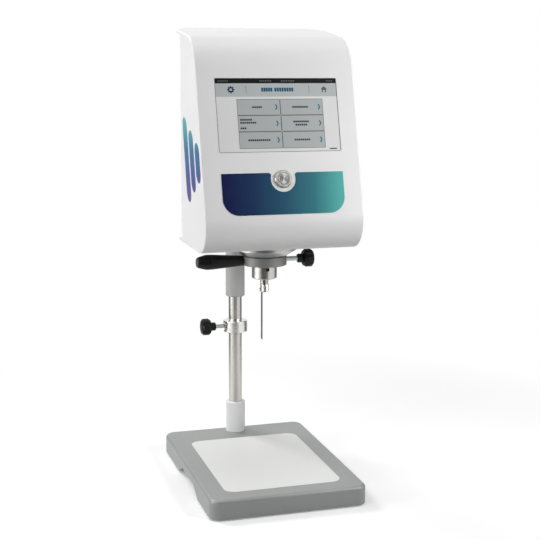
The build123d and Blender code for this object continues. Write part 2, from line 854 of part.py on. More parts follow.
def drive_motor():
    body = upright(motor_diameter / 2, housing_top, motor_top)
    body = fillet(body.edges().filter_by(GeomType.CIRCLE).sort_by(Axis.Z)[-1], 2)
    for n in range(3):
        band = housing_top + motor_length * (n + 1) / 4
        body -= tube(motor_diameter / 2 + 1, motor_diameter / 2 - 1, band - 1, band + 1)
    return AXIS * (body - upright(shaft_diameter / 2 + air, housing_top - 1, motor_top + 1))


def encoder_disc():
    low = motor_top + encoder_lift
    body = upright(encoder_hub_diameter / 2, low - encoder_hub_height / 2, low + encoder_hub_height / 2)
    body += upright(encoder_diameter / 2, low - encoder_thickness / 2, low + encoder_thickness / 2)
    return AXIS * (body - upright(shaft_diameter / 2 + seat, low - 10, low + 10))


def encoder_reader():
    """The fork that reads the disc's edge, standing on the motor."""
    low = motor_top + encoder_lift
    radius = encoder_diameter / 2
    body = block(-6, 6, encoder_hub_diameter / 2 + 4, radius + 6, motor_top, low + 6)
    body -= block(-7, 7, 0, radius + 1.5, low - 2, low + 2)
    return AXIS * body


def rotor_shaft():
    body = upright(shaft_diameter / 2, coupling_bottom + coupling_length / 2, shaft_top)
    return AXIS * chamfer(body.edges().filter_by(GeomType.CIRCLE), 0.5)


# Below the head

def head_flange():
    """The dished flange under the head, with a spigot up through the cover."""
    low = flange_lower_diameter / 2
    rim = flange_diameter / 2
    spigot = flange_spigot_diameter / 2
    body = turned((0, flange_bottom), (low, flange_bottom), (rim, head_lift - flange_rim), (rim, head_lift),
                  (spigot, head_lift), (spigot, lip_top), (0, lip_top))
    body -= upright(boss_neck_diameter / 2 + seat, flange_bottom - 1, lip_top + 1)
    body = AXIS * body
    for place in flange_screw_places():
        body -= place * upright(flange_screw_diameter / 2 + air, flange_bottom - 1, lip_top + 1)
        body -= place * upright(flange_screw_diameter * 0.75 + air, flange_bottom - 1,
                                flange_bottom + flange_screw_diameter + 0.5)
    return body


def flange_screws():
    low = flange_bottom + flange_screw_diameter + 0.5
    length = lip_top - low + chassis_thickness + 12
    return [place * Pos(0, 0, low) * Rot(180, 0, 0) * socket_screw(flange_screw_diameter, length)
            for place in flange_screw_places()]


def boss_sleeve():
    """The stainless nose that the measuring shaft comes out of."""
    radius = boss_diameter / 2
    neck = boss_neck_diameter / 2
    bore = boss_bore_diameter / 2
    body = turned((0, boss_bottom), (radius - 1.4, boss_bottom), (radius, boss_bottom + 1.2),
                  (radius, flange_bottom), (neck, flange_bottom), (neck, chassis_top), (0, chassis_top))
    body -= upright(bore, boss_bottom - 1, chassis_top + 1)
    side = Pos(0, 0, head_lift - boss_hole_drop) * Rot(90, 0, 0)
    body -= side * upright(boss_hole_diameter / 2, bore - 1, radius + 1)
    return AXIS * body


def clamp_ring():
    body = upright(ring_diameter / 2, ring_bottom, ring_top)
    body = fillet(body.edges().filter_by(GeomType.CIRCLE), 0.8)
    body -= upright(boss_diameter / 2 + running, ring_bottom - 1, ring_top + 1)
    middle = Pos(0, 0, ring_middle)
    body -= middle * Rot(0, 90, 0) * upright(knob_screw_diameter / 2 + running, 0, ring_diameter)
    body -= middle * Rot(0, -90, 0) * upright(handle_core_diameter / 2 + seat, 0, ring_diameter)
    return AXIS * body


def handle_place():
    return AXIS * Pos(0, 0, ring_middle) * Rot(0, -90, 0) * Pos(0, 0, ring_diameter / 2 - 2)


def lift_handle():
    """The tapered black grip on the ring's left."""
    root = handle_root_diameter / 2
    belly = handle_belly_diameter / 2
    end = handle_end_diameter / 2
    length = handle_length - handle_cap_thickness
    groove = 0.35
    seam = handle_belly_at
    body = turned((0, 0), (root, 0), (belly, seam - 0.8), (belly - groove, seam - 0.4),
                  (belly - groove, seam), (belly, seam + 0.4), (belly, handle_shoulder_at),
                  (end + 0.6, length - 0.8), (end, length), (0, length))
    body = handle_place() * (body - upright(handle_core_diameter / 2 + seat, -1, length + 1))
    return body - AXIS * upright(ring_diameter / 2 + seat, ring_bottom - 10, ring_top + 10)


def handle_core():
    """The steel screw through the grip, with its flat end disc."""
    length = handle_length - handle_cap_thickness
    radius = handle_core_diameter / 2
    reach = ring_diameter / 2 - 2 - boss_diameter / 2 - running - 1
    core = upright(radius, -reach, length)
    rim = handle_end_diameter / 2 - 0.4
    disc = turned((0, length), (rim, length), (rim - 0.4, handle_length), (0, handle_length))
    return handle_place() * (core + disc)


def spindle_coupling():
    radius = coupling_diameter / 2
    top = coupling_bottom + coupling_length
    waist = coupling_bottom + coupling_waist_up
    groove = radius - 0.5
    knurl = radius - 0.15
    body = turned((0, coupling_bottom), (groove, coupling_bottom), (radius, coupling_bottom + 0.5),
                  (radius, waist - 0.4), (groove, waist), (groove, waist + 0.6), (knurl, waist + 0.9),
                  (knurl, top), (0, top))
    body -= upright(shaft_diameter / 2 + seat, coupling_bottom + coupling_length / 2, top + 1)
    body -= Pos(-measuring_rod_offset, 0, 0) * upright(
        measuring_rod_diameter / 2 + seat, coupling_bottom - 1, coupling_bottom + measuring_rod_seat)
    screw_lift = coupling_bottom + 3
    body -= Pos(0, 0, screw_lift) * Rot(0, -90, 0) * upright(
        coupling_screw_diameter / 2 + seat, measuring_rod_offset, coupling_diameter)
    hole_lift = coupling_bottom + coupling_length * 0.57
    body -= Pos(0, 0, hole_lift) * Rot(90, 0, 0) * upright(1.2, shaft_diameter / 2 - 1, coupling_diameter)
    return AXIS * body


def coupling_screw():
    """The small screw that pinches the measuring rod."""
    rod_side = measuring_rod_offset + measuring_rod_diameter / 2 + seat
    under_head = coupling_diameter / 2 + 0.1
    end = under_head + 1.2
    shank = coupling_screw_diameter / 2
    head = coupling_screw_diameter * 0.8
    body = turned((0, rod_side), (shank, rod_side), (shank, under_head), (head, under_head),
                  (head, end - 0.3), (head * 0.8, end), (0, end))
    return AXIS * Pos(0, 0, coupling_bottom + 3) * Rot(0, -90, 0) * body


def measuring_rod():
    """The thin rod that dips in the sample, with its end cut aslant."""
    top = coupling_bottom + measuring_rod_seat
    low = top - measuring_rod_length
    body = upright(measuring_rod_diameter / 2, low, top)
    cut = Pos(measuring_rod_diameter / 2, 0, low) * Rot(0, 45, 0) * Pos(0, 0, -5) * Box(20, 20, 10)
    return AXIS * Pos(-measuring_rod_offset, 0, 0) * (body - cut)


# Power and rear panel

def power_supply():
    back = panel_inside - 30
    body = block(-supply_side - supply_width / 2, -supply_side + supply_width / 2, back - supply_depth, back,
                 chassis_top, chassis_top + supply_height)
    body = fillet(body.edges().filter_by(Axis.Y).sort_by(Axis.Z)[-2:], 2)
    for n in range(7):
        y = back - 12 - n * 9
        body -= block(-supply_side - supply_width / 2 + 8, -supply_side + supply_width / 2 - 8, y - 2, y + 2,
                      chassis_top + supply_height - 1.5, chassis_top + supply_height + 1)
    return body


def drive_board():
    """The motor's driver board on its legs, with a finned heat sink."""
    side = supply_side
    back = panel_inside - 30
    low = chassis_top + 6
    half = drive_board_width / 2
    body = block(side - half, side + half, back - 60, back, low, low + board_thickness)
    for sx in (-1, 1):
        for y in (back - 4, back - 56):
            body += Pos(side + sx * (half - 4), y, 0) * upright(3, chassis_top, low)
    sink = low + board_thickness
    body += block(side - 13, side + 13, back - 50, back - 14, sink, sink + 4)
    for n in range(5):
        x = side - 12 + n * 6
        body += block(x - 0.8, x + 0.8, back - 50, back - 14, sink + 4, sink + 16)
    return body


def inlet_mouth(play):
    """The plug's outline, seen from behind the head."""
    outline = Polyline((-12, -8), (-12, 1), (-7.5, 8), (7.5, 8), (12, 1), (12, -8), close=True)
    return offset(make_face(outline), amount=-play) if play else make_face(outline)


def mains_inlet():
    """The shroud of the mains inlet."""
    face = rear_panel_y + inlet_flange
    half_w = inlet_body_width / 2
    half_h = inlet_body_height / 2
    body = block(-inlet_width / 2, inlet_width / 2, rear_panel_y, face, -inlet_height / 2, inlet_height / 2)
    body = fillet(body.edges().filter_by(Axis.Y), 3)
    body += block(-half_w, half_w, face - inlet_depth, rear_panel_y, -half_h, half_h)
    front = Plane(origin=(0, face + 1, 0), x_dir=(1, 0, 0), z_dir=(0, -1, 0))
    body -= extrude(front * inlet_mouth(0), amount=inlet_depth + 2)
    return Pos(inlet_side, 0, inlet_lift) * body


def inlet_core():
    """The block with the three pins inside the inlet's shroud."""
    face = rear_panel_y + inlet_flange
    back = face - inlet_depth
    seat_plane = Plane(origin=(0, back, 0), x_dir=(1, 0, 0), z_dir=(0, -1, 0))
    body = extrude(seat_plane * inlet_mouth(seat), amount=-3.5)
    for x, z in ((-7, -2), (0, 2), (7, -2)):
        body += block(x - 1, x + 1, back + 1, face - inlet_pin_depth, z - 2, z + 2)
    return Pos(inlet_side, 0, inlet_lift) * body


rocker_lift = head_lift + switch_up
rocker_pivot_y = rear_panel_y + inlet_flange - 5
rocker_reach = 7.5


def switch_housing():
    face = rear_panel_y + inlet_flange
    half_w = switch_body_width / 2
    half_h = switch_body_height / 2
    rim_w = switch_width / 2
    rim_h = switch_height / 2
    body = block(-rim_w, rim_w, rear_panel_y, face, -rim_h, rim_h)
    body = fillet(body.edges().filter_by(Axis.Y), 2)
    body += block(-half_w, half_w, face - switch_depth, rear_panel_y, -half_h, half_h)
    gap = rocker_width / 2 + air
    swing = rocker_height / 2 + 1.2
    body -= block(-gap, gap, face - 12, face + 1, -swing, swing)
    body = Pos(inlet_side, 0, rocker_lift) * body
    return body - rocker_pin(rocker_pin_diameter / 2 + running, rocker_width / 2 + 1.8)


def rocker_pin(radius, half_length):
    place = Pos(inlet_side, rocker_pivot_y, rocker_lift) * Rot(0, 90, 0)
    return place * upright(radius, -half_length, half_length)


def switch_rocker():
    """The rocker of the power switch, a shallow V seen from the side, on its cross pin."""
    end = rocker_height / 2 - 0.5
    shape = Polyline((-6, -3), (6, -3), (end, rocker_reach - 2.6), (end - 0.2, rocker_reach - 0.2),
                     (0, rocker_reach - 2), (0.2 - end, rocker_reach - 0.2), (-end, rocker_reach - 2.6),
                     close=True)
    place = Plane(origin=(inlet_side, rocker_pivot_y, rocker_lift), x_dir=(0, 0, 1), z_dir=(-1, 0, 0))
    body = extrude(place * Rot(0, 0, rocker_tilt) * make_face(shape), amount=rocker_width / 2, both=True)
    return body + rocker_pin(rocker_pin_diameter / 2, rocker_width / 2 + 1.5)


def usb_ports():
    out = []
    for z in (usb_lift - usb_spacing / 2, usb_lift + usb_spacing / 2):
        shell = block(-8.5, 8.5, rear_panel_y, rear_panel_y + 0.8, -5, 5)
        shell += block(-7, 7, rear_panel_y - 16, rear_panel_y, -3.4, 3.4)
        shell -= block(-6.2, 6.2, rear_panel_y - 10, rear_panel_y + 2, -2.6, 2.6)
        tongue = block(-5.4, 5.4, rear_panel_y - 11, rear_panel_y - 1, 0.2, 1.8)
        out.append(Pos(port_side, 0, z) * (shell + tongue))
    return out


def serial_port():
    body = block(-15.5, 15.5, rear_panel_y, rear_panel_y + 1, -6.2, 6.2)
    body += block(-9.8, 9.8, rear_panel_y - 12, rear_panel_y, -5.3, 5.3)
    shape = Polyline((-8.6, 4), (8.6, 4), (7.2, -4), (-7.2, -4), close=True)
    front = Plane(origin=(0, rear_panel_y + 6, 0), x_dir=(1, 0, 0), z_dir=(0, -1, 0))
    body += extrude(front * make_face(shape), amount=5.5)
    for x in (-12.5, 12.5):
        body += Pos(x, rear_panel_y + 0.5, 0) * Rot(-90, 0, 0) * slab(RegularPolygon(2.6, 6), 0, 4.5)
    return Pos(port_side, 0, serial_lift) * body


def probe_socket():
    radius = probe_diameter / 2
    body = turned((0, -12), (radius - 2.1, -12), (radius - 2.1, 0), (radius, 0), (radius, 1.5),
                  (radius - 1, 2.5), (radius - 3, 2.5), (radius - 3, 1), (0, 1))
    for n in range(4):
        body -= Rot(0, 0, 45 + 90 * n) * Pos(2.3, 0, 0) * upright(0.6, -4, 2)
    return Pos(port_side, rear_panel_y, probe_lift) * Rot(-90, 0, 0) * body


NODES = [
    base_casting, base_feet, base_label, pole, pole_screw, pole_washer, foot_sleeve, stop_collar,
    collar_knob, collar_knob_screw, guide_bushes, guide_sleeve, support_arm, arm_screws, arm_knob,
    arm_knob_screw, front_cover, rear_cover, cover_screws, touch_glass, display_module,
    display_frame, frame_screws, board_standoffs, mainboard, front_plate, button_bezel, button_nut,
    button_cap, chassis_frame, bearing_housing, shaft_bearings, drive_motor, encoder_reader,
    encoder_disc, rotor_shaft, head_flange, flange_screws, boss_sleeve, clamp_ring, lift_handle,
    handle_core, ring_knob, ring_knob_screw, spindle_coupling, coupling_screw, measuring_rod,
    power_supply, drive_board, mains_inlet, inlet_core, switch_housing, switch_rocker, usb_ports,
    serial_port, probe_socket,
]

os.makedirs("parts", exist_ok=True)
for make in NODES:
    name = make.__name__
    made = make()
    solids = [s for m in made for s in m.solids()] if isinstance(made, list) else made.solids()
    shape = Compound(children=solids) if len(solids) > 1 else solids[0]
    shape.label = name
    export_step(shape, f"parts/{name}.step")
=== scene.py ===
"""Looks of the dynamic shear rheometer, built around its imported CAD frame. Lengths are in metres."""

import json
import math

import bmesh
import bpy
from mathutils import Matrix, Vector


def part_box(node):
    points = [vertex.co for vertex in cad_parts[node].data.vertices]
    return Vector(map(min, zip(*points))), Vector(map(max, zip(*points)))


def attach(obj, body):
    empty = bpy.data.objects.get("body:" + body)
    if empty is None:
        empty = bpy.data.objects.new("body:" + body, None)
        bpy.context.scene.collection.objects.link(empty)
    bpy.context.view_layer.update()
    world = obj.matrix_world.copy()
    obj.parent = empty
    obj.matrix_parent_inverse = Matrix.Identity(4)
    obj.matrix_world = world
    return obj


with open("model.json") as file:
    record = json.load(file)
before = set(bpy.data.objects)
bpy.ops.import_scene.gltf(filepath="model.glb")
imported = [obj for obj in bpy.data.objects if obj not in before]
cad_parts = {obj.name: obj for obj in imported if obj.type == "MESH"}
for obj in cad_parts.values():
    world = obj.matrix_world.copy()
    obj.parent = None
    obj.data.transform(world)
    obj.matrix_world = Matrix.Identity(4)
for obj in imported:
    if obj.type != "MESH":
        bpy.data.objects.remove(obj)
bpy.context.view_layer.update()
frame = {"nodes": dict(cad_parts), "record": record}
MM = 0.001
MICRON = 0.000001


# Places read from the frame

def middle(node):
    """The centre of a CAD node's box."""
    low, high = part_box(node)
    return (Vector(low) + Vector(high)) / 2


FACE_TILT = math.radians(15.08)
FACE_NORMAL = Vector((0, -math.cos(FACE_TILT), math.sin(FACE_TILT)))
FACE_UP = Vector((0, math.sin(FACE_TILT), math.cos(FACE_TILT)))


def slab_front(node):
    """The frame on a slanted slab's front: X to the right, Y up the slope and Z outward."""
    low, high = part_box(node)
    cosine = math.cos(FACE_TILT)
    sine = math.sin(FACE_TILT)
    rise = high[2] - low[2]
    run = high[1] - low[1]
    height = (rise * cosine - run * sine) / (cosine ** 2 - sine ** 2)
    place = Matrix((Vector((1, 0, 0)), FACE_UP, FACE_NORMAL)).transposed().to_4x4()
    place.translation = ((low[0] + high[0]) / 2, low[1] + height / 2 * sine, high[2] - height / 2 * cosine)
    return place


# Node trees

NOISE_LOW = 0.3
NOISE_HIGH = 0.7


class Nodes:
    """Short forms for building a node tree."""

    def __init__(self, tree):
        self.tree = tree

    def node(self, kind, **settings):
        made = self.tree.nodes.new(kind)
        for key, value in settings.items():
            setattr(made, key, value)
        return made

    def link(self, source, target):
        self.tree.links.new(source, target)

    def math(self, operation, *values, clamp=False):
        """A sum or product whose inputs are sockets or plain numbers."""
        made = self.node("ShaderNodeMath", operation=operation, use_clamp=clamp)
        for socket, value in zip(made.inputs, values):
            if isinstance(value, (int, float)):
                socket.default_value = value
            else:
                self.link(value, socket)
        return made.outputs[0]

    def span(self, source, low, high, start=NOISE_LOW, end=NOISE_HIGH):
        """The source's range from start to end, laid out from low to high."""
        made = self.node("ShaderNodeMapRange")
        self.link(source, made.inputs["Value"])
        for socket, value in (("From Min", start), ("From Max", end), ("To Min", low), ("To Max", high)):
            made.inputs[socket].default_value = value
        return made.outputs["Result"]


class Finish(Nodes):
    """A material whose colour, gloss and surface come from noise in the object's own coordinates."""

    def __init__(self, name, roughness, metallic=0.0):
        self.material = bpy.data.materials.new(name)
        self.material.use_nodes = True
        super().__init__(self.material.node_tree)
        self.shader = self.tree.nodes["Principled BSDF"]
        self.shader.inputs["Roughness"].default_value = roughness
        self.shader.inputs["Metallic"].default_value = metallic
        self.roughness = roughness
        self.place = self.node("ShaderNodeTexCoord").outputs["Object"]

    def noise(self, scale, detail=3.0):
        """Noise around 0.5, with its grain in waves per metre along each axis."""
        mapping = self.node("ShaderNodeMapping")
        mapping.inputs["Scale"].default_value = scale
        self.link(self.place, mapping.inputs["Vector"])
        texture = self.node("ShaderNodeTexNoise")
        texture.inputs["Scale"].default_value = 1.0
        texture.inputs["Detail"].default_value = detail
        self.link(mapping.outputs["Vector"], texture.inputs["Vector"])
        return texture.outputs["Fac"]

    def ramp(self, source, stops):
        """A colour for the source's value, from (value, colour) stops."""
        made = self.node("ShaderNodeValToRGB")
        elements = made.color_ramp.elements
        while len(elements) < len(stops):
            elements.new(0.5)
        for element, (place, colour) in zip(elements, stops):
            element.position = place
            element.color = (*colour, 1)
        self.link(source, made.inputs["Fac"])
        return made.outputs["Color"]

    def tint(self, colour, amount):
        """Brightens and darkens a colour by a value around 1."""
        scale = self.node("ShaderNodeVectorMath", operation="SCALE")
        self.link(amount, scale.inputs["Scale"])
        if isinstance(colour, tuple):
            scale.inputs[0].default_value = colour
        else:
            self.link(colour, scale.inputs[0])
        self.link(scale.outputs[0], self.shader.inputs["Base Color"])

    def gloss(self, source, spread):
        """Varies the roughness by a spread to both sides."""
        rough = self.span(source, self.roughness - spread, self.roughness + spread)
        self.link(rough, self.shader.inputs["Roughness"])

    def bump(self, source, relief):
        """Raises the surface by a relief in microns where the source is 1."""
        made = self.node("ShaderNodeBump")
        made.inputs["Strength"].default_value = 1.0
        made.inputs["Distance"].default_value = relief * MICRON
        self.link(source, made.inputs["Height"])
        self.link(made.outputs["Normal"], self.shader.inputs["Normal"])


def even(value):
    """The same value three times, as a grey or as a scale for all axes."""
    return (value, value, value)


# Kinds of surface. Grains are in waves per metre, reliefs in microns and spreads in shares of the colour.

PATCH_GRAIN = 18.0
GRAINY_GLOSS_SHARE = 0.2
GRAINY_GLOSS_MOST = 0.06
METAL_GLOSS_SHARE = 0.15
METAL_PATCH_SPREAD = 0.03
TOOL_MARK_DETAIL = 4.0
RING_SPREAD = 0.12
RING_DETAIL = 2.0
RING_ANISOTROPY = 0.75


def grainy(name, colour, roughness, grain, relief, metallic=0.0, spread=0.03, shine=0.5):
    """A surface with an even fine grain and faint broad patches."""
    finish = Finish(name, roughness, metallic)
    fine = finish.noise(even(grain))
    broad = finish.noise(even(PATCH_GRAIN))
    mixed = finish.math("ADD", finish.span(fine, -spread, spread), finish.span(broad, 1 - spread, 1 + spread))
    finish.tint(colour, mixed)
    finish.gloss(broad, min(GRAINY_GLOSS_MOST, roughness * GRAINY_GLOSS_SHARE))
    finish.bump(fine, relief)
    finish.shader.inputs["Specular IOR Level"].default_value = shine
    return finish


def streaked(name, colour, roughness, marks, patches, relief, spread=0.08):
    """Metal with tool marks over broad patches, each with its grain along every axis."""
    finish = Finish(name, roughness, 1.0)
    fine = finish.noise(marks, TOOL_MARK_DETAIL)
    broad = finish.noise(patches)
    streaks = finish.span(fine, -spread, spread)
    mixed = finish.math("ADD", streaks, finish.span(broad, 1 - METAL_PATCH_SPREAD, 1 + METAL_PATCH_SPREAD))
    finish.tint(colour, mixed)
    finish.gloss(fine, roughness * METAL_GLOSS_SHARE)
    finish.bump(fine, relief)
    return finish


def spun(name, colour, roughness, centre, axis, pitch, relief):
    """Metal faced on a lathe: fine rings round an axis, and a gloss that is drawn out along them."""
    finish = Finish(name, roughness, 1.0)
    offset = finish.node("ShaderNodeVectorMath", operation="SUBTRACT")
    finish.link(finish.place, offset.inputs[0])
    offset.inputs[1].default_value = centre
    cross = finish.node("ShaderNodeVectorMath", operation="CROSS_PRODUCT")
    finish.link(offset.outputs[0], cross.inputs[0])
    cross.inputs[1].default_value = axis
    length = finish.node("ShaderNodeVectorMath", operation="LENGTH")
    finish.link(cross.outputs[0], length.inputs[0])
    texture = finish.node("ShaderNodeTexNoise", noise_dimensions="1D")
    texture.inputs["Scale"].default_value = 1.0 / pitch
    texture.inputs["Detail"].default_value = RING_DETAIL
    finish.link(length.outputs["Value"], texture.inputs["W"])
    rings = texture.outputs["Fac"]
    finish.tint(colour, finish.span(rings, 1 - RING_SPREAD, 1 + RING_SPREAD))
    finish.gloss(rings, roughness * METAL_GLOSS_SHARE)
    finish.bump(rings, relief)
    turn = finish.node("ShaderNodeVectorTransform", vector_type="VECTOR")
    turn.convert_from = "OBJECT"
    turn.convert_to = "WORLD"
    finish.link(cross.outputs[0], turn.inputs[0])
    finish.link(turn.outputs[0], finish.shader.inputs["Tangent"])
    finish.shader.inputs["Anisotropic"].default_value = RING_ANISOTROPY
    return finish


# The finish of each material slot

ENAMEL = dict(
    colour=(0.305, 0.312, 0.313), roughness=0.42, grain=1500.0, relief=8, metallic=0.2, spread=0.045)

GRAINY = {
    "cast_silver": ENAMEL,
    "arm_alloy": ENAMEL,
    "foot_rubber": dict(colour=even(0.012), roughness=0.85, grain=900.0, relief=40, spread=0.2),
    "label_white": dict(colour=(0.765, 0.765, 0.76), roughness=0.5, grain=2400.0, relief=8, spread=0.01),
    "nylon_white": dict(colour=even(0.8), roughness=0.5, grain=700.0, relief=10, spread=0.015),
    "knob_black": dict(colour=even(0.005), roughness=0.38, grain=1700.0, relief=8, spread=0.15, shine=0.22),
    "sleeve_grey": dict(colour=(0.47, 0.47, 0.455), roughness=0.5, grain=1400.0, relief=10, spread=0.02),
    "cover_white": dict(colour=even(0.83), roughness=0.4, grain=1300.0, relief=12, spread=0.008),
    "screen_glass": dict(colour=(0.01, 0.01, 0.012), roughness=0.08, grain=40.0, relief=0, spread=0.1),
    "module_steel": dict(colour=even(0.45), roughness=0.4, grain=600.0, relief=10, metallic=1.0, spread=0.05),
    "board_green": dict(colour=(0.015, 0.09, 0.035), roughness=0.35, grain=500.0, relief=20, spread=0.15),
    "housing_alloy": dict(
        colour=even(0.55), roughness=0.38, grain=900.0, relief=10, metallic=1.0, spread=0.05),
    "motor_black": dict(
        colour=(0.02, 0.02, 0.022), roughness=0.45, grain=1100.0, relief=30, metallic=0.3, spread=0.1),
    "part_black": dict(colour=even(0.014), roughness=0.5, grain=1500.0, relief=20, spread=0.12),
    "disc_steel": dict(colour=even(0.6), roughness=0.2, grain=400.0, relief=2, metallic=1.0, spread=0.03),
    "ring_grey": dict(
        colour=(0.27, 0.27, 0.26), roughness=0.42, grain=1400.0, relief=20, metallic=0.2, spread=0.03),
}

TURNED = (15.0, 15.0, 700.0)
DRAWN = (500.0, 500.0, 5.0)
ROLLED = (2600.0, 60.0, 60.0)

STREAKED = {
    "stainless": dict(
        colour=(0.53, 0.515, 0.48), roughness=0.3, marks=DRAWN, patches=(30.0, 30.0, 14.0), relief=0.02,
        spread=0.02),
    "zinc_steel": dict(
        colour=(0.46, 0.52, 0.49), roughness=0.3, marks=ROLLED, patches=even(200.0), relief=2, spread=0.05),
    "collar_alloy": dict(
        colour=(0.74, 0.74, 0.72), roughness=0.25, marks=TURNED, patches=even(60.0), relief=0.02,
        spread=0.02),
    "bush_bronze": dict(
        colour=(0.6, 0.42, 0.2), roughness=0.4, marks=TURNED, patches=even(60.0), relief=10),
    "bearing_chrome": dict(
        colour=even(0.6), roughness=0.15, marks=TURNED, patches=even(60.0), relief=2),
    "flange_alloy": dict(
        colour=(0.5, 0.5, 0.49), roughness=0.36, marks=TURNED, patches=even(60.0), relief=0.05, spread=0.03),
    "coupling_steel": dict(
        colour=(0.5, 0.49, 0.46), roughness=0.22, marks=TURNED, patches=even(90.0), relief=0.8, spread=0.04),
    "rod_steel": dict(
        colour=(0.16, 0.158, 0.15), roughness=0.4, marks=TURNED, patches=even(300.0), relief=0.05,
        spread=0.03),
}

HANDLE_END = dict(colour=even(0.1), roughness=0.5, grain=900.0, relief=10, metallic=0.6, spread=0.08)

BUTTON_COLOUR = (0.36, 0.355, 0.345)
BUTTON_ROUGHNESS = 0.3
BUTTON_RING_PITCH = 0.8 * MM
BUTTON_RELIEF = 0.3

FILM_GRAIN = 1800.0
PLATE_ROUGHNESS = 0.3
PLATE_SHINE = 0.25
PLATE_SPREAD = 0.02
PLATE_GLOSS_SPREAD = 0.02
PLATE_RELIEF = 0.8
PLATE_GLOSS_GRAIN = 60.0
PLATE_WAVE_GRAIN = 220.0
PLATE_STOPS = (
    (0.0, (0.006, 0.009, 0.065)),
    (0.25, (0.007, 0.03, 0.1)),
    (0.5, (0.012, 0.085, 0.15)),
    (0.75, (0.022, 0.175, 0.22)),
    (0.97, (0.075, 0.43, 0.4)),
)


def build_finishes():
    """The finish of each material slot in the record."""
    made = {name: grainy(name, **look) for name, look in GRAINY.items()}
    made.update({name: streaked(name, **look) for name, look in STREAKED.items()})
    made["plate_navy"] = plate_film()
    made["button_steel"] = spun("button_steel", BUTTON_COLOUR, BUTTON_ROUGHNESS, middle("button_cap"),
                                FACE_NORMAL, BUTTON_RING_PITCH, BUTTON_RELIEF)
    return made


def plate_film():
    """The printed film of the front plate, dark blue on the left to green-blue on the right."""
    finish = Finish("plate_navy", PLATE_ROUGHNESS)
    low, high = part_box("front_plate")
    split = finish.node("ShaderNodeSeparateXYZ")
    finish.link(finish.place, split.inputs[0])
    across = finish.span(split.outputs["X"], 0.0, 1.0, low[0], high[0])
    fine = finish.noise(even(FILM_GRAIN))
    finish.tint(finish.ramp(across, PLATE_STOPS), finish.span(fine, 1 - PLATE_SPREAD, 1 + PLATE_SPREAD))
    finish.gloss(finish.noise(even(PLATE_GLOSS_GRAIN)), PLATE_GLOSS_SPREAD)
    finish.bump(finish.noise(even(PLATE_WAVE_GRAIN)), PLATE_RELIEF)
    finish.shader.inputs["Specular IOR Level"].default_value = PLATE_SHINE
    return finish


def paint_frame(finishes):
    """Gives each CAD node the finish of its slot, and the handle's core a dull end."""
    slots = {part["node"]: part["material_slot"] for part in frame["record"]["subparts"]}
    for name, node in frame["nodes"].items():
        for slot in node.material_slots:
            slot.material = finishes[slots[name]].material
    dull = grainy("screw_end_dark", **HANDLE_END)
    for slot in frame["nodes"]["handle_core"].material_slots:
        slot.material = dull.material


# Mesh helpers

def piece(name, bm, body, material):
    """A mesh object that moves with a body."""
    bmesh.ops.recalc_face_normals(bm, faces=bm.faces)
    mesh = bpy.data.meshes.new(name)
    bm.to_mesh(mesh)
    bm.free()
    mesh.materials.append(material)
    made = bpy.data.objects.new(name, mesh)
    bpy.context.scene.collection.objects.link(made)
    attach(made, body)
    return made


def band(bm, lower, upper):
    """Joins two closed rings of as many points with a band of faces."""
    count = len(lower)
    for i in range(count):
        j = (i + 1) % count
        bm.faces.new((lower[i], lower[j], upper[j], upper[i]))


def prism(bm, outline, place, low, high):
    """A flat outline drawn out between two heights of a frame."""
    rings = []
    for height in (low, high):
        rings.append([bm.verts.new(place @ Vector((x, y, height))) for x, y in outline])
    bm.faces.new(rings[0])
    bm.faces.new(rings[1])
    band(bm, rings[0], rings[1])


def arc(cx, cy, radius, start, end, steps):
    """Points on an arc between two angles in degrees."""
    out = []
    for i in range(steps + 1):
        angle = math.radians(start + (end - start) * i / steps)
        out.append((cx + radius * math.cos(angle), cy + radius * math.sin(angle)))
    return out


# The picture on the screen. Across it, sizes are shares of its width, and down it shares of its height.

SCREEN_WIDTH = 152.0 * MM
SCREEN_HEIGHT = 89.5 * MM
NARROWING = SCREEN_HEIGHT / SCREEN_WIDTH

LAYER = 0.035 * MM
LAYER_SINK = 0.2
FIELD = 1
MARK = 2
CELL = 3
SIGN = 4
RIM = 5

PICTURE_INSET = 0.004
BAR_FOOT = 0.07
HEADER_FOOT = 0.25
HEADER_MIDDLE = 0.155

STATUS_WORDS = ((0.028, 3), (0.072, 3), (0.365, 7), (0.54, 8), (0.915, 4))
STATUS_STEP = 0.0145
STATUS_BLOCK = 0.009
STATUS_TOP = 0.029
STATUS_FOOT = 0.047

RULES_LEFT = (0.249, 0.766)
RULE_WIDTH = 0.0035
RULE_TOP = 0.105
RULE_FOOT = 0.2

GEAR_MIDDLE = 0.128
GEAR_RADIUS = 0.05
GEAR_TEETH = 8
GEAR_EYE_RADIUS = 0.021
GEAR_EYE_TEETH = 12
TOOTH = ((-0.3, 0.76), (-0.17, 1.0), (0.17, 1.0), (0.3, 0.76))

HOUSE_MIDDLE = 0.893
HOUSE_SIZE = 0.045
HOUSE_OUTLINE = ((-1, -0.1), (0, -1), (1, -0.1), (0.7, -0.1), (0.7, 0.9), (-0.7, 0.9), (-0.7, -0.1))
DOOR_HALF_WIDTH = 0.009
DOOR_TOP = 0.165
DOOR_FOOT = 0.195

TITLE_WORDS = ((0.375, 0.468, 5), (0.482, 0.642, 8))
TITLE_BLOCK = 0.0158
TITLE_TOP = 0.13
TITLE_FOOT = 0.182

CELL_SPLIT = 0.52
CELL_COLUMNS = ((0.168, CELL_SPLIT), (CELL_SPLIT, 0.873))
CELL_ROWS = (0.283, 0.503, 0.723, 0.95)
CELL_EDGE_ACROSS = 0.0035
CELL_EDGE_DOWN = 0.00595
CROSSING_RADIUS = 0.009
CROSSING_TEETH = 5
CORNER_MARK = (0.905, 0.965, 0.957, 0.972)

CHEVRON_FROM_RIGHT = 0.044
CHEVRON_WIDTH = 0.022
CHEVRON_HEIGHT = 0.075
CHEVRON_THICKNESS = 0.011

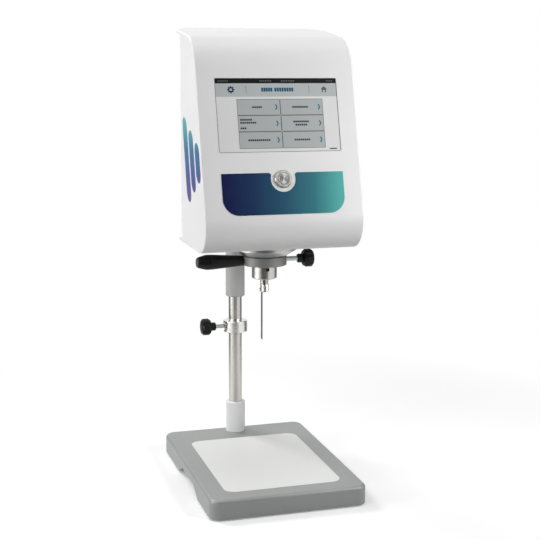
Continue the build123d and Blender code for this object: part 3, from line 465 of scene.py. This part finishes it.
# For each column and row of the menu, the lines' shifts down from the cell's middle and their blocks
MENU_WORDS = {
    (0, 0): ((0.0, 5),),
    (0, 1): ((-0.052, 6), (-0.012, 8), (0.062, 3)),
    (0, 2): ((0.0, 11),),
    (1, 0): ((0.0, 8),),
    (1, 1): ((-0.022, 8), (0.022, 6)),
    (1, 2): ((0.0, 8),),
}
WORD_STEP = 0.0165
WORD_BLOCK = 0.0132
WORD_HALF_HEIGHT = 0.012
WORD_SHIFT_LEFT = 0.012
WORD_MARGIN = 0.018

RIM_WIDTH = 0.0045
RIM_FOOT_HEIGHT = 0.0072

INKS = {
    "black": (0.003, 0.003, 0.004),
    "header_grey": (0.5, 0.53, 0.53),
    "pale": even(0.78),
    "cell_grey": (0.46, 0.49, 0.49),
    "line_brown": (0.14, 0.12, 0.09),
    "ink": (0.03, 0.04, 0.045),
    "teal": (0.0, 0.19, 0.3),
    "navy": (0.005, 0.02, 0.11),
    "dim": even(0.13),
    "dot": (0.72, 0.66, 0.45),
    "title_blue": (0.008, 0.085, 0.17),
}
INK_LOOK = dict(roughness=0.35, grain=3000.0, relief=1, spread=0.012, shine=0.15)


def screen_layer(name, outlines, level, material):
    """Flat outlines on the screen, raised to a level of its layers."""
    place = slab_front("touch_glass")
    bm = bmesh.new()
    for outline in outlines:
        points = [((u - 0.5) * SCREEN_WIDTH, (0.5 - v) * SCREEN_HEIGHT) for u, v in outline]
        prism(bm, points, place, -LAYER_SINK * LAYER, level * LAYER)
    made = piece(name, bm, "head", material)


def area(left, right, top, foot):
    return [(left, top), (right, top), (right, foot), (left, foot)]


def blocks(start, count, step, width, top, foot):
    """A row of small blocks in the place of a word."""
    lefts = [start + i * step for i in range(count)]
    return [area(left, left + width, top, foot) for left in lefts]


def gear(u, v, radius, teeth):
    """A toothed wheel."""
    out = []
    for i in range(teeth):
        for part, reach in TOOTH:
            angle = 2 * math.pi * (i + part) / teeth
            across = radius * reach * NARROWING
            out.append((u + across * math.cos(angle), v + radius * reach * math.sin(angle)))
    return out


def house(u, v, size):
    """A house sign: a roof, two walls and a base."""
    return [(u + x * size * NARROWING, v + y * size) for x, y in HOUSE_OUTLINE]


def chevron(left, v):
    """An arrow head that points to the right."""
    right = left + CHEVRON_WIDTH
    top = v - CHEVRON_HEIGHT / 2
    foot = v + CHEVRON_HEIGHT / 2
    return [(left, top), (left + CHEVRON_THICKNESS, top), (right, v), (left + CHEVRON_THICKNESS, foot),
            (left, foot), (right - CHEVRON_THICKNESS, v)]


def build_fields(inks):
    left = PICTURE_INSET
    right = 1 - PICTURE_INSET
    screen_layer("screen_body", [area(left, right, HEADER_FOOT, 1 - PICTURE_INSET)], FIELD, inks["pale"])
    screen_layer("screen_header", [area(left, right, BAR_FOOT, HEADER_FOOT)], FIELD, inks["header_grey"])
    screen_layer("screen_status", [area(left, right, PICTURE_INSET, BAR_FOOT)], FIELD, inks["black"])
    marks = []
    for start, count in STATUS_WORDS:
        marks += blocks(start, count, STATUS_STEP, STATUS_BLOCK, STATUS_TOP, STATUS_FOOT)
    screen_layer("screen_status_marks", marks, MARK, inks["dim"])


def build_header(inks):
    rules = [area(left, left + RULE_WIDTH, RULE_TOP, RULE_FOOT) for left in RULES_LEFT]
    screen_layer("screen_rules", rules, MARK, inks["dim"])
    wheel = gear(GEAR_MIDDLE, HEADER_MIDDLE, GEAR_RADIUS, GEAR_TEETH)
    screen_layer("screen_gear", [wheel], MARK, inks["navy"])
    eye = gear(GEAR_MIDDLE, HEADER_MIDDLE, GEAR_EYE_RADIUS, GEAR_EYE_TEETH)
    screen_layer("screen_gear_eye", [eye], CELL, inks["header_grey"])
    screen_layer("screen_house", [house(HOUSE_MIDDLE, HEADER_MIDDLE, HOUSE_SIZE)], MARK, inks["dim"])
    door = area(HOUSE_MIDDLE - DOOR_HALF_WIDTH, HOUSE_MIDDLE + DOOR_HALF_WIDTH, DOOR_TOP, DOOR_FOOT)
    screen_layer("screen_house_door", [door], CELL, inks["header_grey"])
    title = []
    for left, right, count in TITLE_WORDS:
        title += blocks(left, count, (right - left) / count, TITLE_BLOCK, TITLE_TOP, TITLE_FOOT)
    screen_layer("screen_title", title, MARK, inks["title_blue"])


def menu_words(column, row, left, right, centre):
    """The blocks for a cell's words: left-aligned in a cell of three lines, otherwise about its middle."""
    lines = MENU_WORDS[column, row]
    out = []
    for shift, count in lines:
        start = (left + right) / 2 - WORD_SHIFT_LEFT - count * WORD_STEP / 2
        if len(lines) > 2:
            start = left + WORD_MARGIN
        top = centre + shift - WORD_HALF_HEIGHT
        out += blocks(start, count, WORD_STEP, WORD_BLOCK, top, top + 2 * WORD_HALF_HEIGHT)
    return out


def build_menu(inks):
    edges = []
    fills = []
    signs = []
    words = []
    for column, (left, right) in enumerate(CELL_COLUMNS):
        for row, (top, foot) in enumerate(zip(CELL_ROWS, CELL_ROWS[1:])):
            centre = (top + foot) / 2
            edges.append(area(left, right, top, foot))
            fills.append(area(left + CELL_EDGE_ACROSS, right - CELL_EDGE_ACROSS,
                              top + CELL_EDGE_DOWN, foot - CELL_EDGE_DOWN))
            signs.append(chevron(right - CHEVRON_FROM_RIGHT, centre))
            words += menu_words(column, row, left, right, centre)
    screen_layer("screen_cell_edges", edges, MARK, inks["line_brown"])
    screen_layer("screen_cells", fills, CELL, inks["cell_grey"])
    screen_layer("screen_chevrons", signs, SIGN, inks["teal"])
    screen_layer("screen_words", words, SIGN, inks["ink"])


def build_rim(inks):
    # The dark brown frame round the picture's edge is painted shade, where the recess round the glass casts
    # its shadow; it is wider along the bottom.
    sides = [area(0, RIM_WIDTH, 0, 1), area(1 - RIM_WIDTH, 1, 0, 1),
             area(0, 1, 1 - RIM_FOOT_HEIGHT, 1), area(0, 1, 0, RIM_WIDTH)]
    screen_layer("screen_edge_shade", sides, RIM, inks["line_brown"])
    crossings = [gear(CELL_SPLIT, v, CROSSING_RADIUS, CROSSING_TEETH) for v in CELL_ROWS]
    screen_layer("screen_crossings", crossings, SIGN, inks["dot"])
    screen_layer("screen_corner_mark", [area(*CORNER_MARK)], MARK, inks["ink"])


def build_screen():
    inks = {name: grainy("screen_" + name, colour, **INK_LOOK).material for name, colour in INKS.items()}
    build_fields(inks)
    build_header(inks)
    build_menu(inks)
    build_rim(inks)


# The print on the head's sides

STRIPE_LEAN = math.tan(FACE_TILT)
STRIPE_WIDTH = 23.0 * MM
STRIPE_GAP = 6.0 * MM
STRIPES_FOOT = 372.0 * MM
STRIPES_TOP = 474.0 * MM
STRIPE_REAR = -4.0 * MM
STRIPE_THICKNESS = 0.12 * MM
STRIPE_SINK = 0.3
STRIPE_LENGTHS = (1.0, 0.72, 0.46)
STRIPE_END_STEPS = 16
STRIPE_ROUGHNESS = 0.32
STRIPE_SPREAD = 0.04
STRIPE_GLOSS_SPREAD = 0.04
STRIPE_RELIEF = 5
STRIPE_STOPS = (
    (0.0, (0.105, 0.06, 0.28)),
    (0.3, (0.045, 0.075, 0.29)),
    (0.62, (0.03, 0.15, 0.31)),
    (1.0, (0.1, 0.44, 0.42)),
)


def stripe_film():
    """Green-blue at the top, blue in the middle and purple at the bottom."""
    finish = Finish("stripe_film", STRIPE_ROUGHNESS)
    split = finish.node("ShaderNodeSeparateXYZ")
    finish.link(finish.place, split.inputs[0])
    up = finish.span(split.outputs["Z"], 0.0, 1.0, STRIPES_FOOT, STRIPES_TOP)
    fine = finish.noise(even(FILM_GRAIN))
    finish.tint(finish.ramp(up, STRIPE_STOPS), finish.span(fine, 1 - STRIPE_SPREAD, 1 + STRIPE_SPREAD))
    finish.gloss(fine, STRIPE_GLOSS_SPREAD)
    finish.bump(fine, STRIPE_RELIEF)
    return finish.material


def stripe_outline(number, length):
    """A leaning bar with round ends, as points from rear to front and up."""
    centre = (STRIPES_FOOT + STRIPES_TOP) / 2
    half = (STRIPES_TOP - STRIPES_FOOT) / 2 * length
    rear = STRIPE_REAR - number * (STRIPE_WIDTH + STRIPE_GAP)
    radius = STRIPE_WIDTH / 2
    capsule = arc(0, centre + half - radius, radius, 0, 180, STRIPE_END_STEPS)
    capsule += arc(0, centre - half + radius, radius, 180, 360, STRIPE_END_STEPS)
    return [(rear - radius + y + (z - centre) * STRIPE_LEAN, z) for y, z in capsule]


def build_stripes():
    """Three leaning bars on each side of the head."""
    low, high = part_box("front_cover")
    film = stripe_film()
    for side, x, outward in (("left", low[0], -1), ("right", high[0], 1)):
        place = Matrix(((0, 0, outward, x), (1, 0, 0, 0), (0, 1, 0, 0), (0, 0, 0, 1)))
        bm = bmesh.new()
        for number, length in enumerate(STRIPE_LENGTHS):
            outline = stripe_outline(number, length)
            prism(bm, outline, place, -STRIPE_SINK * STRIPE_THICKNESS, STRIPE_THICKNESS)
        made = piece("side_stripes_" + side, bm, "head", film)


# The knurl on the coupling

KNURL_AROUND = 52
KNURL_ROWS = 16
KNURL_HEIGHT = 9.2 * MM
KNURL_UP = 0.8 * MM
KNURL_RELIEF = 0.16 * MM
KNURL_SINK = 0.02 * MM
KNURL_WALL = 0.4 * MM


def knurl_ring(bm, centre, z, reaches):
    """A closed ring of points at the given distances from the coupling's axis."""
    out = []
    for i, reach in enumerate(reaches):
        angle = 2 * math.pi * i / KNURL_AROUND
        out.append(bm.verts.new((centre.x + reach * math.cos(angle), centre.y + reach * math.sin(angle), z)))
    return out


def build_knurl(material):
    """A band of small pyramids round the coupling's lower part, closed on the inside."""
    low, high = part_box("spindle_coupling")
    centre = middle("spindle_coupling")
    radius = (high[1] - low[1]) / 2 - KNURL_SINK
    bm = bmesh.new()
    outer = []
    for j in range(KNURL_ROWS + 1):
        relief = 0 if j in (0, KNURL_ROWS) else KNURL_RELIEF
        reaches = [radius + relief * ((i + j) % 2) for i in range(KNURL_AROUND)]
        outer.append(knurl_ring(bm, centre, low[2] + KNURL_UP + KNURL_HEIGHT * j / KNURL_ROWS, reaches))
    reaches = [radius - KNURL_WALL] * KNURL_AROUND
    inner = [knurl_ring(bm, centre, ring[0].co.z, reaches) for ring in (outer[0], outer[-1])]
    loops = [inner[0]] + outer + [inner[1], inner[0]]
    for lower, upper in zip(loops, loops[1:]):
        band(bm, lower, upper)
    made = piece("coupling_knurl", bm, "rotor", material)


# Camera, floor, lamps and background

CAMERA_PLACE = (-0.40788, -1.41219, 0.53790)
CAMERA_YAW = math.radians(16.617)
CAMERA_PITCH = math.radians(10.038)
CAMERA_ROLL = math.radians(0.171)
PHOTO_SIZE = 540
FOCAL_PIXELS = 1160.24
SENSOR = 36.0
FAR_CLIP = 50.0


def add_camera():
    """The photograph's camera: its yaw turns to the right and its pitch down."""
    camera = bpy.data.cameras.new("camera")
    camera.sensor_width = SENSOR
    camera.lens = FOCAL_PIXELS / PHOTO_SIZE * SENSOR
    camera.clip_end = FAR_CLIP
    flat = math.cos(CAMERA_PITCH)
    forward = Vector((math.sin(CAMERA_YAW) * flat, math.cos(CAMERA_YAW) * flat, -math.sin(CAMERA_PITCH)))
    level = Vector((math.cos(CAMERA_YAW), -math.sin(CAMERA_YAW), 0))
    up = level.cross(forward)
    right = level * math.cos(CAMERA_ROLL) + up * math.sin(CAMERA_ROLL)
    above = up * math.cos(CAMERA_ROLL) - level * math.sin(CAMERA_ROLL)
    place = Matrix((right, above, -forward)).transposed().to_4x4()
    place.translation = CAMERA_PLACE
    holder = bpy.data.objects.new("camera", camera)
    holder.matrix_world = place
    bpy.context.scene.collection.objects.link(holder)
    bpy.context.scene.camera = holder


def background_ray(nodes):
    """1 for the rays that show the background: seen straight, in a reflection or through glass."""
    path = nodes.node("ShaderNodeLightPath")
    total = path.outputs["Is Camera Ray"]
    for name in ("Is Glossy Ray", "Is Transmission Ray"):
        total = nodes.math("ADD", total, path.outputs[name], clamp=True)
    return total


# The background's strength for the rays that light the object. The lamps do all of that.
AMBIENT = 0.0

# Place, size and power of each lamp
LAMPS = {
    "key": ((-1.3, -1.1, 1.5), 0.9, 8.26),
    "side": ((-1.8, -0.1, 0.5), 0.9, 16.5),
    "near": ((0.62, -0.68, 0.62), 0.35, 5.43),
    "overhead": ((0.1, 0.0, 2.1), 1.2, 9.34),
    "rear": ((-0.9, 1.2, 1.7), 0.9, 27.8),
}
AIM = Vector((0, -0.03, 0.35))


def background(nodes, strength):
    made = nodes.node("ShaderNodeBackground")
    made.inputs["Strength"].default_value = strength
    made.inputs["Color"].default_value = (1, 1, 1, 1)
    return made.outputs[0]


def add_world():
    world = bpy.data.worlds.new("studio")
    bpy.context.scene.world = world
    world.use_nodes = True
    nodes = Nodes(world.node_tree)
    nodes.tree.nodes.clear()
    mix = nodes.node("ShaderNodeMixShader")
    nodes.link(background_ray(nodes), mix.inputs[0])
    nodes.link(background(nodes, AMBIENT), mix.inputs[1])
    nodes.link(background(nodes, 1.0), mix.inputs[2])
    out = nodes.node("ShaderNodeOutputWorld")
    nodes.link(mix.outputs[0], out.inputs["Surface"])


def add_lamp(name, place, size, power):
    light = bpy.data.lights.new(name, "AREA")
    light.size = size
    light.energy = power
    lamp = bpy.data.objects.new(name, light)
    aim = AIM - Vector(place)
    lamp.matrix_world = Matrix.Translation(place) @ aim.to_track_quat("-Z", "Y").to_matrix().to_4x4()
    bpy.context.scene.collection.objects.link(lamp)


def stage_object(name, bm):
    """An object of the studio with an empty node material, and the nodes to fill it with."""
    mesh = bpy.data.meshes.new(name)
    bm.to_mesh(mesh)
    bm.free()
    material = bpy.data.materials.new(name)
    material.use_nodes = True
    mesh.materials.append(material)
    made = bpy.data.objects.new(name, mesh)
    bpy.context.scene.collection.objects.link(made)
    nodes = Nodes(material.node_tree)
    nodes.tree.nodes.clear()
    return made, nodes


FLOOR_RADIUS = 6.0
FLOOR_EDGES = 96
FADE_START = 0.3
FADE_END = 0.7
FLOOR_LIFT = 0.22
FLOOR_BOUNCE = 0.38
FLOOR_SEEN = 0.86


def add_floor():
    """A pale floor that turns into the white background away from the object, and keeps its shadow."""
    bm = bmesh.new()
    bmesh.ops.create_circle(bm, cap_ends=True, radius=FLOOR_RADIUS, segments=FLOOR_EDGES)
    floor, nodes = stage_object("floor", bm)
    shown = background_ray(nodes)
    length = nodes.node("ShaderNodeVectorMath", operation="LENGTH")
    nodes.link(nodes.node("ShaderNodeTexCoord").outputs["Object"], length.inputs[0])
    fade = nodes.span(length.outputs["Value"], 0.0, 1.0, FADE_START, FADE_END)
    matte = nodes.node("ShaderNodeBsdfDiffuse")
    nodes.link(nodes.span(shown, FLOOR_BOUNCE, FLOOR_SEEN, 0.0, 1.0), matte.inputs["Color"])
    lift = nodes.node("ShaderNodeEmission")
    nodes.link(nodes.math("MULTIPLY", shown, FLOOR_LIFT), lift.inputs["Strength"])
    near = nodes.node("ShaderNodeAddShader")
    nodes.link(matte.outputs[0], near.inputs[0])
    nodes.link(lift.outputs[0], near.inputs[1])
    white = nodes.node("ShaderNodeEmission")
    mix = nodes.node("ShaderNodeMixShader")
    nodes.link(nodes.math("MULTIPLY", fade, shown), mix.inputs[0])
    nodes.link(near.outputs[0], mix.inputs[1])
    nodes.link(white.outputs[0], mix.inputs[2])
    out = nodes.node("ShaderNodeOutputMaterial")
    nodes.link(mix.outputs[0], out.inputs["Surface"])


# Azimuth in degrees, with 0 in front and 90 on the right, then width, height, distance and brightness
CARDS = {
    "card_front": (-16, 0.72, 0.95, 0.55, 0.06),
    "card_left": (-140, 0.5, 0.9, 0.6, 0.15),
    "card_right": (112, 0.5, 0.9, 0.6, 0.15),
}


def add_card(name, azimuth, width, height, distance, tone):
    """A dark upright card that only shows in reflections."""
    bm = bmesh.new()
    bmesh.ops.create_grid(bm, x_segments=1, y_segments=1, size=0.5)
    card, nodes = stage_object(name, bm)
    glow = nodes.node("ShaderNodeEmission")
    glow.inputs["Strength"].default_value = tone
    out = nodes.node("ShaderNodeOutputMaterial")
    nodes.link(glow.outputs[0], out.inputs["Surface"])
    turn = math.radians(azimuth)
    centre = Vector((0, 0, height / 2))
    place = Vector((math.sin(turn), -math.cos(turn), 0)) * distance + centre
    turned = (centre - place).to_track_quat("Z", "Y").to_matrix().to_4x4()
    card.matrix_world = Matrix.Translation(place) @ turned @ Matrix.Diagonal((width, height, 1, 1))
    card.visible_camera = False
    card.visible_diffuse = False
    card.visible_shadow = False
    card.visible_transmission = False


def add_studio():
    add_camera()
    add_world()
    add_floor()
    for name, (place, size, power) in LAMPS.items():
        add_lamp(name, place, size, power)
    for name, settings in CARDS.items():
        add_card(name, *settings)


# The object

finishes = build_finishes()
paint_frame(finishes)
build_screen()
build_stripes()
build_knurl(finishes["coupling_steel"].material)
add_studio()

bpy.context.scene.view_settings.view_transform = "Standard"
